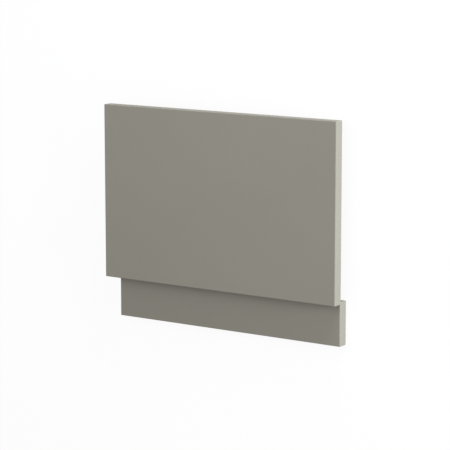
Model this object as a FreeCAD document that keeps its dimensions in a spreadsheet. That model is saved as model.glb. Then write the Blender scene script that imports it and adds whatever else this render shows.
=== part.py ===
import FreeCAD, Part
import math
import os

import Sketcher
from FreeCAD import Vector

# End panel for a bath, in two boards. The panel hangs below the bath's rim. The plinth stands on
# the floor behind the panel's lower edge, and two angle brackets on the back hold it there.
# The part lies on its back with its face up: +X runs along the width, +Y from the floor edge to the
# rim edge, and +Z out of the face. The origin is below the middle of its box, on the floor.

os.makedirs("parts", exist_ok=True)
doc = FreeCAD.newDocument("BathEndPanel")

# Driving dimensions in millimetres
dimensions = [
    ("panel_width", "700", "along the end of the bath"),
    ("panel_height", "450", "from the panel's lower edge to the rim"),
    ("panel_thickness", "28", "thickness of the panel's board"),
    ("plinth_height", "111", "from the floor to the plinth's top edge"),
    ("plinth_thickness", "28", "thickness of the plinth's board"),
    ("plinth_overlap", "6", "how far the plinth's top reaches up behind the panel"),
    ("plinth_inset_left", "27", "panel's left end to the plinth's, at the corner with a front panel"),
    ("plinth_inset_right", "2", "panel's right end to the plinth's, at the wall"),
    ("edge_radius", "2", "rounding of every edge of both boards"),
    ("bracket_end_distance", "110", "plinth's end to the middle of the nearer bracket"),
    ("bracket_width", "30", "along the plinth"),
    ("bracket_gauge", "2", "thickness of the bracket's steel"),
    ("bracket_bend_radius", "1", "inside of the bend"),
    ("bracket_corner_radius", "3", "rounding of the legs' free corners"),
    ("bracket_panel_leg", "40", "outside length of the leg on the panel's back"),
    ("bracket_back_margin", "4", "plinth's back to the end of the leg on its top edge"),
    ("screw_hole_diameter", "4", "holes in one leg, and width of the slot in the other"),
    ("screw_hole_spacing", "16", "between the two holes on the plinth's top edge"),
    ("slot_margin", "6", "flat steel left at each end of the slot"),
]

sheet = doc.addObject("Spreadsheet::Sheet", "Sizes")
for row, (alias, value, note) in enumerate(dimensions, start=1):
    sheet.set(f"A{row}", alias)
    sheet.set(f"B{row}", value)
    sheet.setAlias(f"B{row}", alias)
    sheet.set(f"C{row}", note)
doc.recompute()

# Places that more than one piece uses
overall_height = "(Sizes.panel_height + Sizes.plinth_height - Sizes.plinth_overlap)"
plinth_left = "(Sizes.plinth_inset_left - Sizes.panel_width / 2)"
plinth_right = "(Sizes.panel_width / 2 - Sizes.plinth_inset_right)"
plinth_top = f"(Sizes.plinth_height - {overall_height} / 2)"

position_tolerance = 1e-6

# A sketch's own origin and upright axis, as its constraints count them
origin_point = (-1, 1)
sketch_axes = {"upright": -2}


def add_body(label, place):
    """A body whose own origin lies at three expressions, along X, Y and Z."""
    body = doc.addObject("PartDesign::Body", label)
    body.Label = label
    for axis, expression in zip("xyz", place):
        body.setExpression(f"Placement.Base.{axis}", expression)
    return body


def add_sketch(body, name, plane):
    sketch = body.newObject("Sketcher::SketchObject", name)
    support = next(feature for feature in body.Origin.OriginFeatures if feature.Role == plane)
    sketch.AttachmentSupport = (support, "")
    sketch.MapMode = "FlatFace"
    return sketch


def add_size(sketch, name, expression, kind, *elements):
    """A named dimension of a sketch, driven by the sheet."""
    start_value = float(sketch.evalExpression(expression))
    index = sketch.addConstraint(Sketcher.Constraint(kind, *elements, start_value))
    sketch.renameConstraint(index, name)
    sketch.setExpression(f"Constraints.{name}", expression)


def draw_outline(sketch, corners):
    """A closed outline of level and upright lines, with its first corner on the sketch's origin."""
    ends = corners[1:] + corners[:1]
    lines = [
        sketch.addGeometry(Part.LineSegment(Vector(*start), Vector(*end)))
        for start, end in zip(corners, ends)
    ]
    for line, following, start, end in zip(lines, lines[1:] + lines[:1], corners, ends):
        sketch.addConstraint(Sketcher.Constraint("Coincident", line, 2, following, 1))
        direction = "Horizontal" if start[1] == end[1] else "Vertical"
        sketch.addConstraint(Sketcher.Constraint(direction, line))
    sketch.addConstraint(Sketcher.Constraint("Coincident", lines[0], 1, *origin_point))
    return lines


def add_pad(body, name, sketch, length):
    pad = body.newObject("PartDesign::Pad", name)
    pad.Profile = sketch
    pad.setExpression("Length", length)
    return pad


def add_pocket(body, name, sketch):
    """Cuts a sketch's outline right through the body."""
    doc.recompute()
    volume_before = body.Shape.Volume
    pocket = body.newObject("PartDesign::Pocket", name)
    pocket.Profile = sketch
    pocket.Type = "ThroughAll"
    doc.recompute()
    if body.Shape.Volume >= volume_before:
        raise RuntimeError(f"{body.Label}: {name} cuts nothing")


def add_fillet(body, name, middles, radius):
    """Rounds the edges whose middles lie at the given points."""
    doc.recompute()
    base = body.Tip
    edges = [
        f"Edge{number}"
        for number, edge in enumerate(base.Shape.Edges, start=1)
        if any(edge.CenterOfMass.isEqual(middle, position_tolerance) for middle in middles)
    ]
    if len(edges) != len(middles):
        raise RuntimeError(f"{body.Label}: {name} finds {len(edges)} edges of {len(middles)}")
    fillet = body.newObject("PartDesign::Fillet", name)
    fillet.Base = (base, edges)
    fillet.setExpression("Radius", radius)


def make_board(label, width, height, thickness, place):
    """A flat board with every edge eased. Its own origin is the lower left corner of its back."""
    body = add_body(label, place)
    outline = add_sketch(body, "Outline", "XY_Plane")
    across = float(outline.evalExpression(width))
    up = float(outline.evalExpression(height))
    lower, right, upper, left = draw_outline(outline, [(0, 0), (across, 0), (across, up), (0, up)])
    add_size(outline, "Width", width, "DistanceX", lower, 1, lower, 2)
    add_size(outline, "Height", height, "DistanceY", right, 1, right, 2)
    board = add_pad(body, "Board", outline, thickness)
    doc.recompute()

    arris = body.newObject("PartDesign::Fillet", "Arris")
    arris.Base = (board, ["Edge1"])
    arris.UseAllEdges = True
    arris.setExpression("Radius", "Sizes.edge_radius")
    return body


def draw_slot(sketch, start, end):
    """A round-ended slot along the sketch's upright axis, as wide as a screw hole."""
    radius = sheet.get("screw_hole_diameter") / 2
    low = float(sketch.evalExpression(start)) + radius
    high = float(sketch.evalExpression(end)) - radius
    normal = Vector(0, 0, 1)
    upper_circle = Part.Circle(Vector(0, high), normal, radius)
    lower_circle = Part.Circle(Vector(0, low), normal, radius)
    right = sketch.addGeometry(Part.LineSegment(Vector(radius, low), Vector(radius, high)))
    upper = sketch.addGeometry(Part.ArcOfCircle(upper_circle, 0, math.pi))
    left = sketch.addGeometry(Part.LineSegment(Vector(-radius, high), Vector(-radius, low)))
    lower = sketch.addGeometry(Part.ArcOfCircle(lower_circle, math.pi, 2 * math.pi))
    for first, second in ((right, upper), (upper, left), (left, lower), (lower, right)):
        sketch.addConstraint(Sketcher.Constraint("Tangent", first, 2, second, 1))
    sketch.addConstraint(Sketcher.Constraint("Equal", upper, lower))
    for arc in (upper, lower):
        sketch.addConstraint(Sketcher.Constraint("PointOnObject", arc, 3, sketch_axes["upright"]))
    half_width = "Sizes.screw_hole_diameter / 2"
    add_size(sketch, "HalfWidth", half_width, "Radius", upper)
    add_size(sketch, "Low", f"{start} + {half_width}", "DistanceY", *origin_point, lower, 3)
    add_size(sketch, "High", f"{end} - {half_width}", "DistanceY", *origin_point, upper, 3)


def make_bracket(label, middle):
    """A bent steel angle in the corner between the panel's back and the plinth's top edge. Its own
    origin is in that corner, at the middle of its width. The slot lets the plinth be set higher or lower."""
    body = add_body(label, (middle, plinth_top, "Sizes.plinth_thickness"))
    half_width = sheet.get("bracket_width") / 2
    gauge = sheet.get("bracket_gauge")
    panel_leg = sheet.get("bracket_panel_leg")
    plinth_leg = sheet.get("plinth_thickness") - sheet.get("bracket_back_margin")

    profile = add_sketch(body, "Profile", "YZ_Plane")
    panel_face, panel_end, _, _, plinth_end, plinth_face = draw_outline(
        profile,
        [
            (0, 0),
            (panel_leg, 0),
            (panel_leg, -gauge),
            (gauge, -gauge),
            (gauge, -plinth_leg),
            (0, -plinth_leg),
        ],
    )
    add_size(profile, "PanelLeg", "Sizes.bracket_panel_leg", "DistanceX", panel_face, 1, panel_face, 2)
    add_size(profile, "PanelGauge", "Sizes.bracket_gauge", "DistanceY", panel_end, 2, panel_end, 1)
    add_size(profile, "PlinthGauge", "Sizes.bracket_gauge", "DistanceX", plinth_end, 2, plinth_end, 1)
    plinth_leg_length = "Sizes.plinth_thickness - Sizes.bracket_back_margin"
    add_size(profile, "PlinthLeg", plinth_leg_length, "DistanceY", plinth_face, 1, plinth_face, 2)
    strip = add_pad(body, "Strip", profile, "Sizes.bracket_width")
    strip.SideType = "Symmetric"

    add_fillet(body, "InsideBend", [Vector(0, gauge, -gauge)], "Sizes.bracket_bend_radius")
    add_fillet(body, "OutsideBend", [Vector(0, 0, 0)], "Sizes.bracket_bend_radius + Sizes.bracket_gauge")
    free_corners = [
        corner
        for x in (-half_width, half_width)
        for corner in (Vector(x, panel_leg, -gauge / 2), Vector(x, gauge / 2, -plinth_leg))
    ]
    add_fillet(body, "LegCorners", free_corners, "Sizes.bracket_corner_radius")

    slot = add_sketch(body, "Slot", "XY_Plane")
    slot_start = "Sizes.bracket_gauge + Sizes.bracket_bend_radius + Sizes.slot_margin"
    draw_slot(slot, slot_start, "Sizes.bracket_panel_leg - Sizes.slot_margin")
    add_pocket(body, "AdjustingSlot", slot)

    holes = add_sketch(body, "Holes", "XZ_Plane")
    half_spacing = sheet.get("screw_hole_spacing") / 2
    depth = sheet.get("plinth_thickness") / 2
    radius = sheet.get("screw_hole_diameter") / 2
    for x in (-half_spacing, half_spacing):
        holes.addGeometry(Part.Circle(Vector(x, -depth), Vector(0, 0, 1), radius))
    first, second = range(2)
    holes.addConstraint(Sketcher.Constraint("Symmetric", first, 3, second, 3, sketch_axes["upright"]))
    holes.addConstraint(Sketcher.Constraint("Equal", first, second))
    add_size(holes, "Diameter", "Sizes.screw_hole_diameter", "Diameter", first)
    add_size(holes, "Spacing", "Sizes.screw_hole_spacing", "DistanceX", first, 3, second, 3)
    add_size(holes, "Depth", "Sizes.plinth_thickness / 2", "DistanceY", first, 3, *origin_point)
    add_pocket(body, "ScrewHoles", holes)
    return body


panel = make_board(
    "panel",
    "Sizes.panel_width",
    "Sizes.panel_height",
    "Sizes.panel_thickness",
    ("-Sizes.panel_width / 2", f"{overall_height} / 2 - Sizes.panel_height", "Sizes.plinth_thickness"),
)
plinth = make_board(
    "plinth",
    f"{plinth_right} - {plinth_left}",
    "Sizes.plinth_height",
    "Sizes.plinth_thickness",
    (plinth_left, f"-{overall_height} / 2", "0"),
)
brackets = [
    make_bracket("plinth_bracket_left", f"{plinth_left} + Sizes.bracket_end_distance"),
    make_bracket("plinth_bracket_right", f"{plinth_right} - Sizes.bracket_end_distance"),
]
doc.recompute()

for item in doc.Objects:
    if "Invalid" in item.State or "Error" in item.State:
        raise RuntimeError(f"{item.Label} failed: {item.State}")
for piece in [panel, plinth, *brackets]:
    if piece.Shape.isNull() or not piece.Shape.isValid():
        raise RuntimeError(f"{piece.Label} has no valid shape")

for piece in [panel, plinth, *brackets]:
    piece.Shape.exportStep(f"parts/{piece.Label}.step")
    print(f"{piece.Label}: {piece.Shape.Volume / 1000:.1f} cm3, {piece.Shape.BoundBox}")
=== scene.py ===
import math

import bmesh
import bpy
from mathutils import Matrix, Vector


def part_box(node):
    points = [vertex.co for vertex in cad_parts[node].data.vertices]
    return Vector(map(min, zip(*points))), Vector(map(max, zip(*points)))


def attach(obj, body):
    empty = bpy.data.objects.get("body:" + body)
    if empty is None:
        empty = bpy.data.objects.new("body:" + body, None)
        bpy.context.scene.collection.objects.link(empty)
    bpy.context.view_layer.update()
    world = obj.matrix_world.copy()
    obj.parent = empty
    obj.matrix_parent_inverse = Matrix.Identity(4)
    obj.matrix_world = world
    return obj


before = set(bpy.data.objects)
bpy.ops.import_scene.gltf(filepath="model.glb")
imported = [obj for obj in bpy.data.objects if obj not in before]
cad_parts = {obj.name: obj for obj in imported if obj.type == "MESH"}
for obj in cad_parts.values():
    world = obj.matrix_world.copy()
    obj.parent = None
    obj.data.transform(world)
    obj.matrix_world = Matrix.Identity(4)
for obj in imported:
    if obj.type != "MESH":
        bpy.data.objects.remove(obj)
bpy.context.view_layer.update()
scene = bpy.context.scene
scene.view_settings.view_transform = "Standard"
print("frame loaded:", ", ".join(sorted(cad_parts)))

noiseReach = (0.3, 0.7)  # nearly all of a noise lies between these
colourMix = {"factor": 0, "base": 6, "over": 7, "result": 2}  # where a Mix node keeps its colour sockets


def startMaterial(name):
    mat = bpy.data.materials.new(name)
    mat.use_nodes = True
    tree = mat.node_tree
    tree.nodes.clear()
    return mat, tree, tree.nodes.new("ShaderNodeOutputMaterial")


def addNode(tree, kind, **values):
    node = tree.nodes.new("ShaderNode" + kind)
    for name, value in values.items():
        node.inputs[name].default_value = value
    return node


def addMath(tree, operation):
    node = addNode(tree, "Math")
    node.operation = operation
    return node


def addNoise(tree, coords, size, detail=2):
    noise = addNode(tree, "TexNoise", Scale=1 / size, Detail=detail)
    tree.links.new(coords, noise.inputs["Vector"])
    return noise.outputs["Fac"]


# spreads a noise, which keeps near its middle, over a range of values
def spreadNoise(tree, noise, middle, spread):
    low, high = noiseReach
    ranged = addNode(tree, "MapRange")
    ranged.inputs["From Min"].default_value = low
    ranged.inputs["From Max"].default_value = high
    ranged.inputs["To Min"].default_value = middle - spread
    ranged.inputs["To Max"].default_value = middle + spread
    tree.links.new(noise, ranged.inputs["Value"])
    return ranged.outputs["Result"]


# relief over what lies under it, all over or by a share of it from place to place
def addBump(tree, height, distance, under=None, share=None):
    bump = addNode(tree, "Bump", Distance=distance)
    tree.links.new(height, bump.inputs["Height"])
    if under:
        tree.links.new(under, bump.inputs["Normal"])
    if share:
        tree.links.new(share, bump.inputs["Strength"])
    return bump.outputs["Normal"]


# one tone, lighter and darker by a noise, and by a finer one on top
def addTone(tree, tone, coarse, coarseSpread, fine, fineSpread):
    link = tree.links.new
    ramp = addNode(tree, "ValToRGB")
    shares = (1 - coarseSpread, 1 + coarseSpread)
    for element, position, share in zip(ramp.color_ramp.elements, noiseReach, shares):
        element.position = position
        element.color = (*[channel * share for channel in tone], 1)
    link(coarse, ramp.inputs["Fac"])
    shade = addNode(tree, "Mix")
    shade.data_type = "RGBA"
    shade.blend_type = "MULTIPLY"
    shade.inputs[colourMix["factor"]].default_value = 1
    link(ramp.outputs["Color"], shade.inputs[colourMix["base"]])
    link(spreadNoise(tree, fine, 1, fineSpread), shade.inputs[colourMix["over"]])
    return shade.outputs[colourMix["result"]]


def dress(node, mat):
    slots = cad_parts[node].data.materials
    slots.clear()
    slots.append(mat)


# matt paint on fibreboard, one warm stone grey on both boards
paint = {
    "tone": (0.2554, 0.2384, 0.2067),
    "roughness": 0.85,
    "roughnessSpread": 0.025,
    "specular": 0.2,
    "cloudSize": 0.19,  # m, slow drift of the sprayed coat
    "cloudSpread": 0.012,
    "fleckSize": 0.0009,
    "fleckSpread": 0.02,
    "patchSize": 0.03,  # of the gloss
    "peelSize": 0.0022,  # ripple of the sprayed coat
    "peelHeight": 0.000018,
    "grainSize": 0.0005,  # matting grain on top of it
    "grainHeight": 0.000004,
    "fibreSize": 0.0011,  # raised fibres under the paint, on the sawn edges alone
    "fibreHeight": 0.00003,
}


# 1 on a board's edges and 0 on its faces, which look along Z
def addEdgeShare(tree, normal):
    axes = addNode(tree, "SeparateXYZ")
    facing = addMath(tree, "ABSOLUTE")
    aside = addMath(tree, "SUBTRACT")
    aside.inputs[0].default_value = 1
    tree.links.new(normal, axes.inputs["Vector"])
    tree.links.new(axes.outputs["Z"], facing.inputs[0])
    tree.links.new(facing.outputs["Value"], aside.inputs[1])
    return aside.outputs["Value"]


def makePaint():
    mat, tree, output = startMaterial("mattPaint")
    link = tree.links.new
    shader = addNode(tree, "BsdfPrincipled")
    shader.inputs["Specular IOR Level"].default_value = paint["specular"]
    place = addNode(tree, "TexCoord")
    coords = place.outputs["Object"]
    clouds = addNoise(tree, coords, paint["cloudSize"], detail=3)
    flecks = addNoise(tree, coords, paint["fleckSize"], detail=1)
    tone = addTone(tree, paint["tone"], clouds, paint["cloudSpread"], flecks, paint["fleckSpread"])
    patches = addNoise(tree, coords, paint["patchSize"], detail=4)
    gloss = spreadNoise(tree, patches, paint["roughness"], paint["roughnessSpread"])
    peel = addNoise(tree, coords, paint["peelSize"])
    grain = addNoise(tree, coords, paint["grainSize"])
    fibres = addNoise(tree, coords, paint["fibreSize"], detail=4)
    edges = addEdgeShare(tree, place.outputs["Normal"])
    relief = addBump(tree, peel, paint["peelHeight"])
    relief = addBump(tree, grain, paint["grainHeight"], under=relief)
    relief = addBump(tree, fibres, paint["fibreHeight"], under=relief, share=edges)
    link(tone, shader.inputs["Base Color"])
    link(gloss, shader.inputs["Roughness"])
    link(relief, shader.inputs["Normal"])
    link(shader.outputs["BSDF"], output.inputs["Surface"])
    return mat


mattPaint = makePaint()
for board in ("panel", "plinth"):
    dress(board, mattPaint)
print("boards painted")


# bright zinc plate on the brackets and their screws
zinc = {
    "tone": (0.62, 0.63, 0.64),
    "spangleSize": 0.004,  # m, crystals of the plating
    "spangleSpread": 0.05,
    "stainSize": 0.011,
    "stainSpread": 0.05,
    "roughness": 0.34,
    "roughnessSpread": 0.09,
    "streakSize": 0.0006,  # rolling marks, long down the strip
    "streakLength": 0.009,
    "streakHeight": 0.000005,
}


def makeZinc():
    mat, tree, output = startMaterial("zincPlate")
    link = tree.links.new
    shader = addNode(tree, "BsdfPrincipled", Metallic=1)
    coords = addNode(tree, "TexCoord").outputs["Object"]
    spangle = addNode(tree, "TexVoronoi", Scale=1 / zinc["spangleSize"])
    link(coords, spangle.inputs["Vector"])
    stains = addNoise(tree, coords, zinc["stainSize"], detail=4)
    cells = spangle.outputs["Color"]
    tone = addTone(tree, zinc["tone"], cells, zinc["spangleSpread"], stains, zinc["stainSpread"])
    across, along = 1 / zinc["streakSize"], 1 / zinc["streakLength"]
    stretch = addNode(tree, "Mapping", Scale=(across, along, along))
    link(coords, stretch.inputs["Vector"])
    streaks = addNoise(tree, stretch.outputs["Vector"], 1, detail=3)
    gloss = spreadNoise(tree, streaks, zinc["roughness"], zinc["roughnessSpread"])
    link(tone, shader.inputs["Base Color"])
    link(gloss, shader.inputs["Roughness"])
    link(addBump(tree, streaks, zinc["streakHeight"]), shader.inputs["Normal"])
    link(shader.outputs["BSDF"], output.inputs["Surface"])
    return mat


zincPlate = makeZinc()
brackets = ("plinth_bracket_left", "plinth_bracket_right")
for bracket in brackets:
    dress(bracket, zincPlate)
print("brackets plated")


# pan-head screws: one through each bracket's slot into the panel, two into the plinth's top edge
screw = {
    "headRadius": 0.0037,
    "headHeight": 0.0024,
    "rimHeight": 0.0008,  # of the head's upright rim
    "shankRadius": 0.0018,
    "shankLength": 0.002,  # through the bracket's steel, down to the board
    "crossHalf": 0.0021,  # half the length of the cross recess
    "crossWidth": 0.0011,
    "crossDepth": 0.0015,
    "crossRise": 0.0012,  # from the head's top to the top of what cuts the cross
    "crossFoot": 0.5,  # share of the cross that is left at its foot
    "domeSteps": 8,
    "sides": 52,  # so that none of its lines meets a corner of the cross
    "weld": 1e-7,  # points as near as this become one
    "sharpAngle": 30,  # degrees, and any sharper edge is shaded as one
    "turn": 37,  # degrees from one screw's cross to the next
    "slotMiddle": 0.0215,  # from the plinth's top edge to the middle of the slot
    "holeDrop": 0.014,  # from the panel's back to the holes
    "holeSpacing": 0.016,
}


def makeObject(name, made):
    mesh = bpy.data.meshes.new(name)
    made.to_mesh(mesh)
    made.free()
    piece = bpy.data.objects.new(name, mesh)
    scene.collection.objects.link(piece)
    return piece


# a head and shank turned about Z, with the seat of the head at z = 0
def turnScrew():
    radius, rim = screw["headRadius"], screw["rimHeight"]
    crown = screw["headHeight"] - rim
    dome = [math.pi / 2 * step / screw["domeSteps"] for step in range(screw["domeSteps"] + 1)]
    profile = [(radius * math.sin(angle), rim + crown * math.cos(angle)) for angle in dome]
    profile += [(radius, 0), (screw["shankRadius"], 0)]
    profile += [(screw["shankRadius"], -screw["shankLength"]), (0, -screw["shankLength"])]
    made = bmesh.new()
    verts = [made.verts.new((x, 0, z)) for x, z in profile]
    edges = [made.edges.new(pair) for pair in zip(verts, verts[1:])]
    axis = {"cent": (0, 0, 0), "axis": (0, 0, 1), "angle": 2 * math.pi}
    bmesh.ops.spin(made, geom=verts + edges, steps=screw["sides"], use_merge=True, **axis)
    bmesh.ops.remove_doubles(made, verts=made.verts, dist=screw["weld"])
    bmesh.ops.recalc_face_normals(made, faces=made.faces)
    return makeObject("turnedScrew", made)


# a cross that narrows towards its foot, from above the head down into it
def makeCross():
    half, arm = screw["crossHalf"], screw["crossWidth"] / 2
    quarter = [(arm, half), (arm, arm), (half, arm)]
    outline = []
    for turn in range(4):
        outline += quarter
        quarter = [(y, -x) for x, y in quarter]
    top = screw["headHeight"] + screw["crossRise"]
    foot = screw["headHeight"] - screw["crossDepth"]
    made = bmesh.new()
    rings = []
    for z, share in ((top, 1), (foot, screw["crossFoot"])):
        rings.append([made.verts.new((x * share, y * share, z)) for x, y in outline])
        made.faces.new(rings[-1])
    for i in range(len(outline)):
        j = (i + 1) % len(outline)
        made.faces.new((rings[0][i], rings[0][j], rings[1][j], rings[1][i]))
    bmesh.ops.recalc_face_normals(made, faces=made.faces)
    return makeObject("cross", made)


def makeScrewMesh():
    body, cross = turnScrew(), makeCross()
    recess = body.modifiers.new("recess", "BOOLEAN")
    recess.operation = "DIFFERENCE"
    recess.object = cross
    mesh = bpy.data.meshes.new_from_object(body.evaluated_get(bpy.context.evaluated_depsgraph_get()))
    mesh.materials.append(zincPlate)
    mesh.shade_smooth()
    mesh.set_sharp_from_angle(angle=math.radians(screw["sharpAngle"]))
    for used in (body, cross):
        bpy.data.objects.remove(used)
    return mesh


def addScrew(name, mesh, place):
    piece = bpy.data.objects.new(name, mesh.copy())
    piece.data.transform(place)
    scene.collection.objects.link(piece)
    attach(piece, "root")


def makeScrews():
    mesh = makeScrewMesh()
    towardsFloor = Matrix.Rotation(math.pi, 4, "X")  # heads on the panel's back
    towardsRim = Matrix.Rotation(-math.pi / 2, 4, "X")  # heads on the plinth's top edge
    aside = screw["holeSpacing"] / 2
    gauge = screw["shankLength"]
    for count, bracket in enumerate(brackets):
        low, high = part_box(bracket)
        middle = (low.x + high.x) / 2
        seats = {
            "slot": ((middle, low.y + screw["slotMiddle"], high.z - gauge), towardsFloor),
            "hole_1": ((middle - aside, low.y + gauge, high.z - screw["holeDrop"]), towardsRim),
            "hole_2": ((middle + aside, low.y + gauge, high.z - screw["holeDrop"]), towardsRim),
        }
        for number, (seat, (point, facing)) in enumerate(seats.items()):
            turn = Matrix.Rotation(math.radians(screw["turn"] * (count * len(seats) + number)), 4, "Z")
            addScrew(f"{bracket}_{seat}_screw", mesh, Matrix.Translation(point) @ facing @ turn)


makeScrews()
print("screws set")


# pale floor and background: white where they are looked at, and soft light elsewhere
stage = {
    "half": 8.0,  # m, from the middle of the floor to its edges
    "drop": 0.0002,  # below the part, so that no faces share a plane
    "white": (1, 1, 1, 1),
    "bounce": (0.75, 0.75, 0.75, 1),  # the floor as a source of light
    "shadowShare": 0.1,  # how much of the shadow on it is seen
    "skyLight": 0.55,
}


# 1 for a ray that looks at the surface, straight or in a reflection
def addLookedAt(tree):
    path = addNode(tree, "LightPath")
    total = path.outputs["Is Camera Ray"]
    for name in ("Is Glossy Ray", "Is Transmission Ray"):
        either = addMath(tree, "MAXIMUM")
        tree.links.new(total, either.inputs[0])
        tree.links.new(path.outputs[name], either.inputs[1])
        total = either.outputs["Value"]
    return total


def addShaderMix(tree, first, second):
    mix = addNode(tree, "MixShader")
    tree.links.new(first, mix.inputs[1])
    tree.links.new(second, mix.inputs[2])
    return mix


def makeFloor():
    mat, tree, output = startMaterial("paleFloor")
    link = tree.links.new
    lit = addNode(tree, "BsdfDiffuse", Color=stage["bounce"]).outputs["BSDF"]
    shaded = addNode(tree, "BsdfDiffuse", Color=stage["white"]).outputs["BSDF"]
    glow = addNode(tree, "Emission", Color=stage["white"], Strength=1).outputs["Emission"]
    seen = addShaderMix(tree, glow, shaded)
    seen.inputs["Fac"].default_value = stage["shadowShare"]
    surface = addShaderMix(tree, lit, seen.outputs["Shader"])
    link(addLookedAt(tree), surface.inputs["Fac"])
    link(surface.outputs["Shader"], output.inputs["Surface"])

    half, z = stage["half"], -stage["drop"]
    corners = [(-half, -half, z), (half, -half, z), (half, half, z), (-half, half, z)]
    mesh = bpy.data.meshes.new("floor")
    mesh.from_pydata(corners, [], [(0, 1, 2, 3)])
    mesh.materials.append(mat)
    floor = bpy.data.objects.new("floor", mesh)
    scene.collection.objects.link(floor)


def makeSky():
    world = bpy.data.worlds.new("studio")
    world.use_nodes = True
    tree = world.node_tree
    tree.nodes.clear()
    output = tree.nodes.new("ShaderNodeOutputWorld")
    light = addNode(tree, "Background", Color=stage["white"], Strength=stage["skyLight"])
    seen = addNode(tree, "Background", Color=stage["white"], Strength=1)
    surface = addShaderMix(tree, light.outputs["Background"], seen.outputs["Background"])
    tree.links.new(addLookedAt(tree), surface.inputs["Fac"])
    tree.links.new(surface.outputs["Shader"], output.inputs["Surface"])
    scene.world = world


makeFloor()
makeSky()
print("stage set")


# softboxes that face the part: two low ones, off its right end and its rim edge, and one aloft
lamps = {
    "aim": (0, 0, 0.04),
    "tint": (0.955, 1.0, 1.0),
    "boxes": {  # bearing and height in degrees, sizes in m, watts
        "rightBox": {"bearing": 0, "height": 8.2, "distance": 3.2, "wide": 2.0, "tall": 0.9, "watts": 104},
        "cornerBox": {"bearing": 67, "height": 8, "distance": 3.5, "wide": 1.75, "tall": 0.7, "watts": 99},
        "skyBox": {"bearing": 105, "height": 66, "distance": 1.4, "wide": 1.6, "tall": 1.0, "watts": 5.5},
    },
}


def makeLamps():
    for name, lamp in lamps["boxes"].items():
        bearing, height = math.radians(lamp["bearing"]), math.radians(lamp["height"])
        outward = Vector((
            math.cos(height) * math.cos(bearing),
            math.cos(height) * math.sin(bearing),
            math.sin(height),
        ))
        data = bpy.data.lights.new(name, "AREA")
        data.shape = "RECTANGLE"
        data.size = lamp["wide"]
        data.size_y = lamp["tall"]
        data.energy = lamp["watts"]
        data.color = lamps["tint"]
        box = bpy.data.objects.new(name, data)
        box.location = Vector(lamps["aim"]) + outward * lamp["distance"]
        box.rotation_euler = outward.to_track_quat("Z", "Y").to_euler()
        box.visible_camera = False
        scene.collection.objects.link(box)


makeLamps()
print("lamps lit")


# camera, as the photograph was taken: the part lies face up, so it looks down on the face
shot = {
    "aim": (0.02778, -0.00226, 0.056),  # a point on the face
    "sideways": 34.683,  # degrees off the face's normal, towards the right end
    "towardsRim": 9.348,  # degrees off it, towards the rim edge
    "roll": -0.039,
    "distance": 5.114,
    "lens": 164.41,  # mm
    "sensor": 36,
}


def makeCamera():
    turn = math.radians(shot["sideways"])
    lift = math.radians(shot["towardsRim"])
    back = Vector((math.sin(turn) * math.cos(lift), math.sin(lift), math.cos(turn) * math.cos(lift)))
    right = Vector((0, 1, 0)).cross(back).normalized()
    up = back.cross(right)
    turned = Matrix((right, up, back)).transposed().to_4x4()
    data = bpy.data.cameras.new("camera")
    data.lens = shot["lens"]
    data.sensor_width = shot["sensor"]
    cam = bpy.data.objects.new("camera", data)
    scene.collection.objects.link(cam)
    place = Matrix.Translation(Vector(shot["aim"]) + back * shot["distance"])
    cam.matrix_world = place @ turned @ Matrix.Rotation(math.radians(shot["roll"]), 4, "Z")
    scene.camera = cam


makeCamera()
print("camera placed")
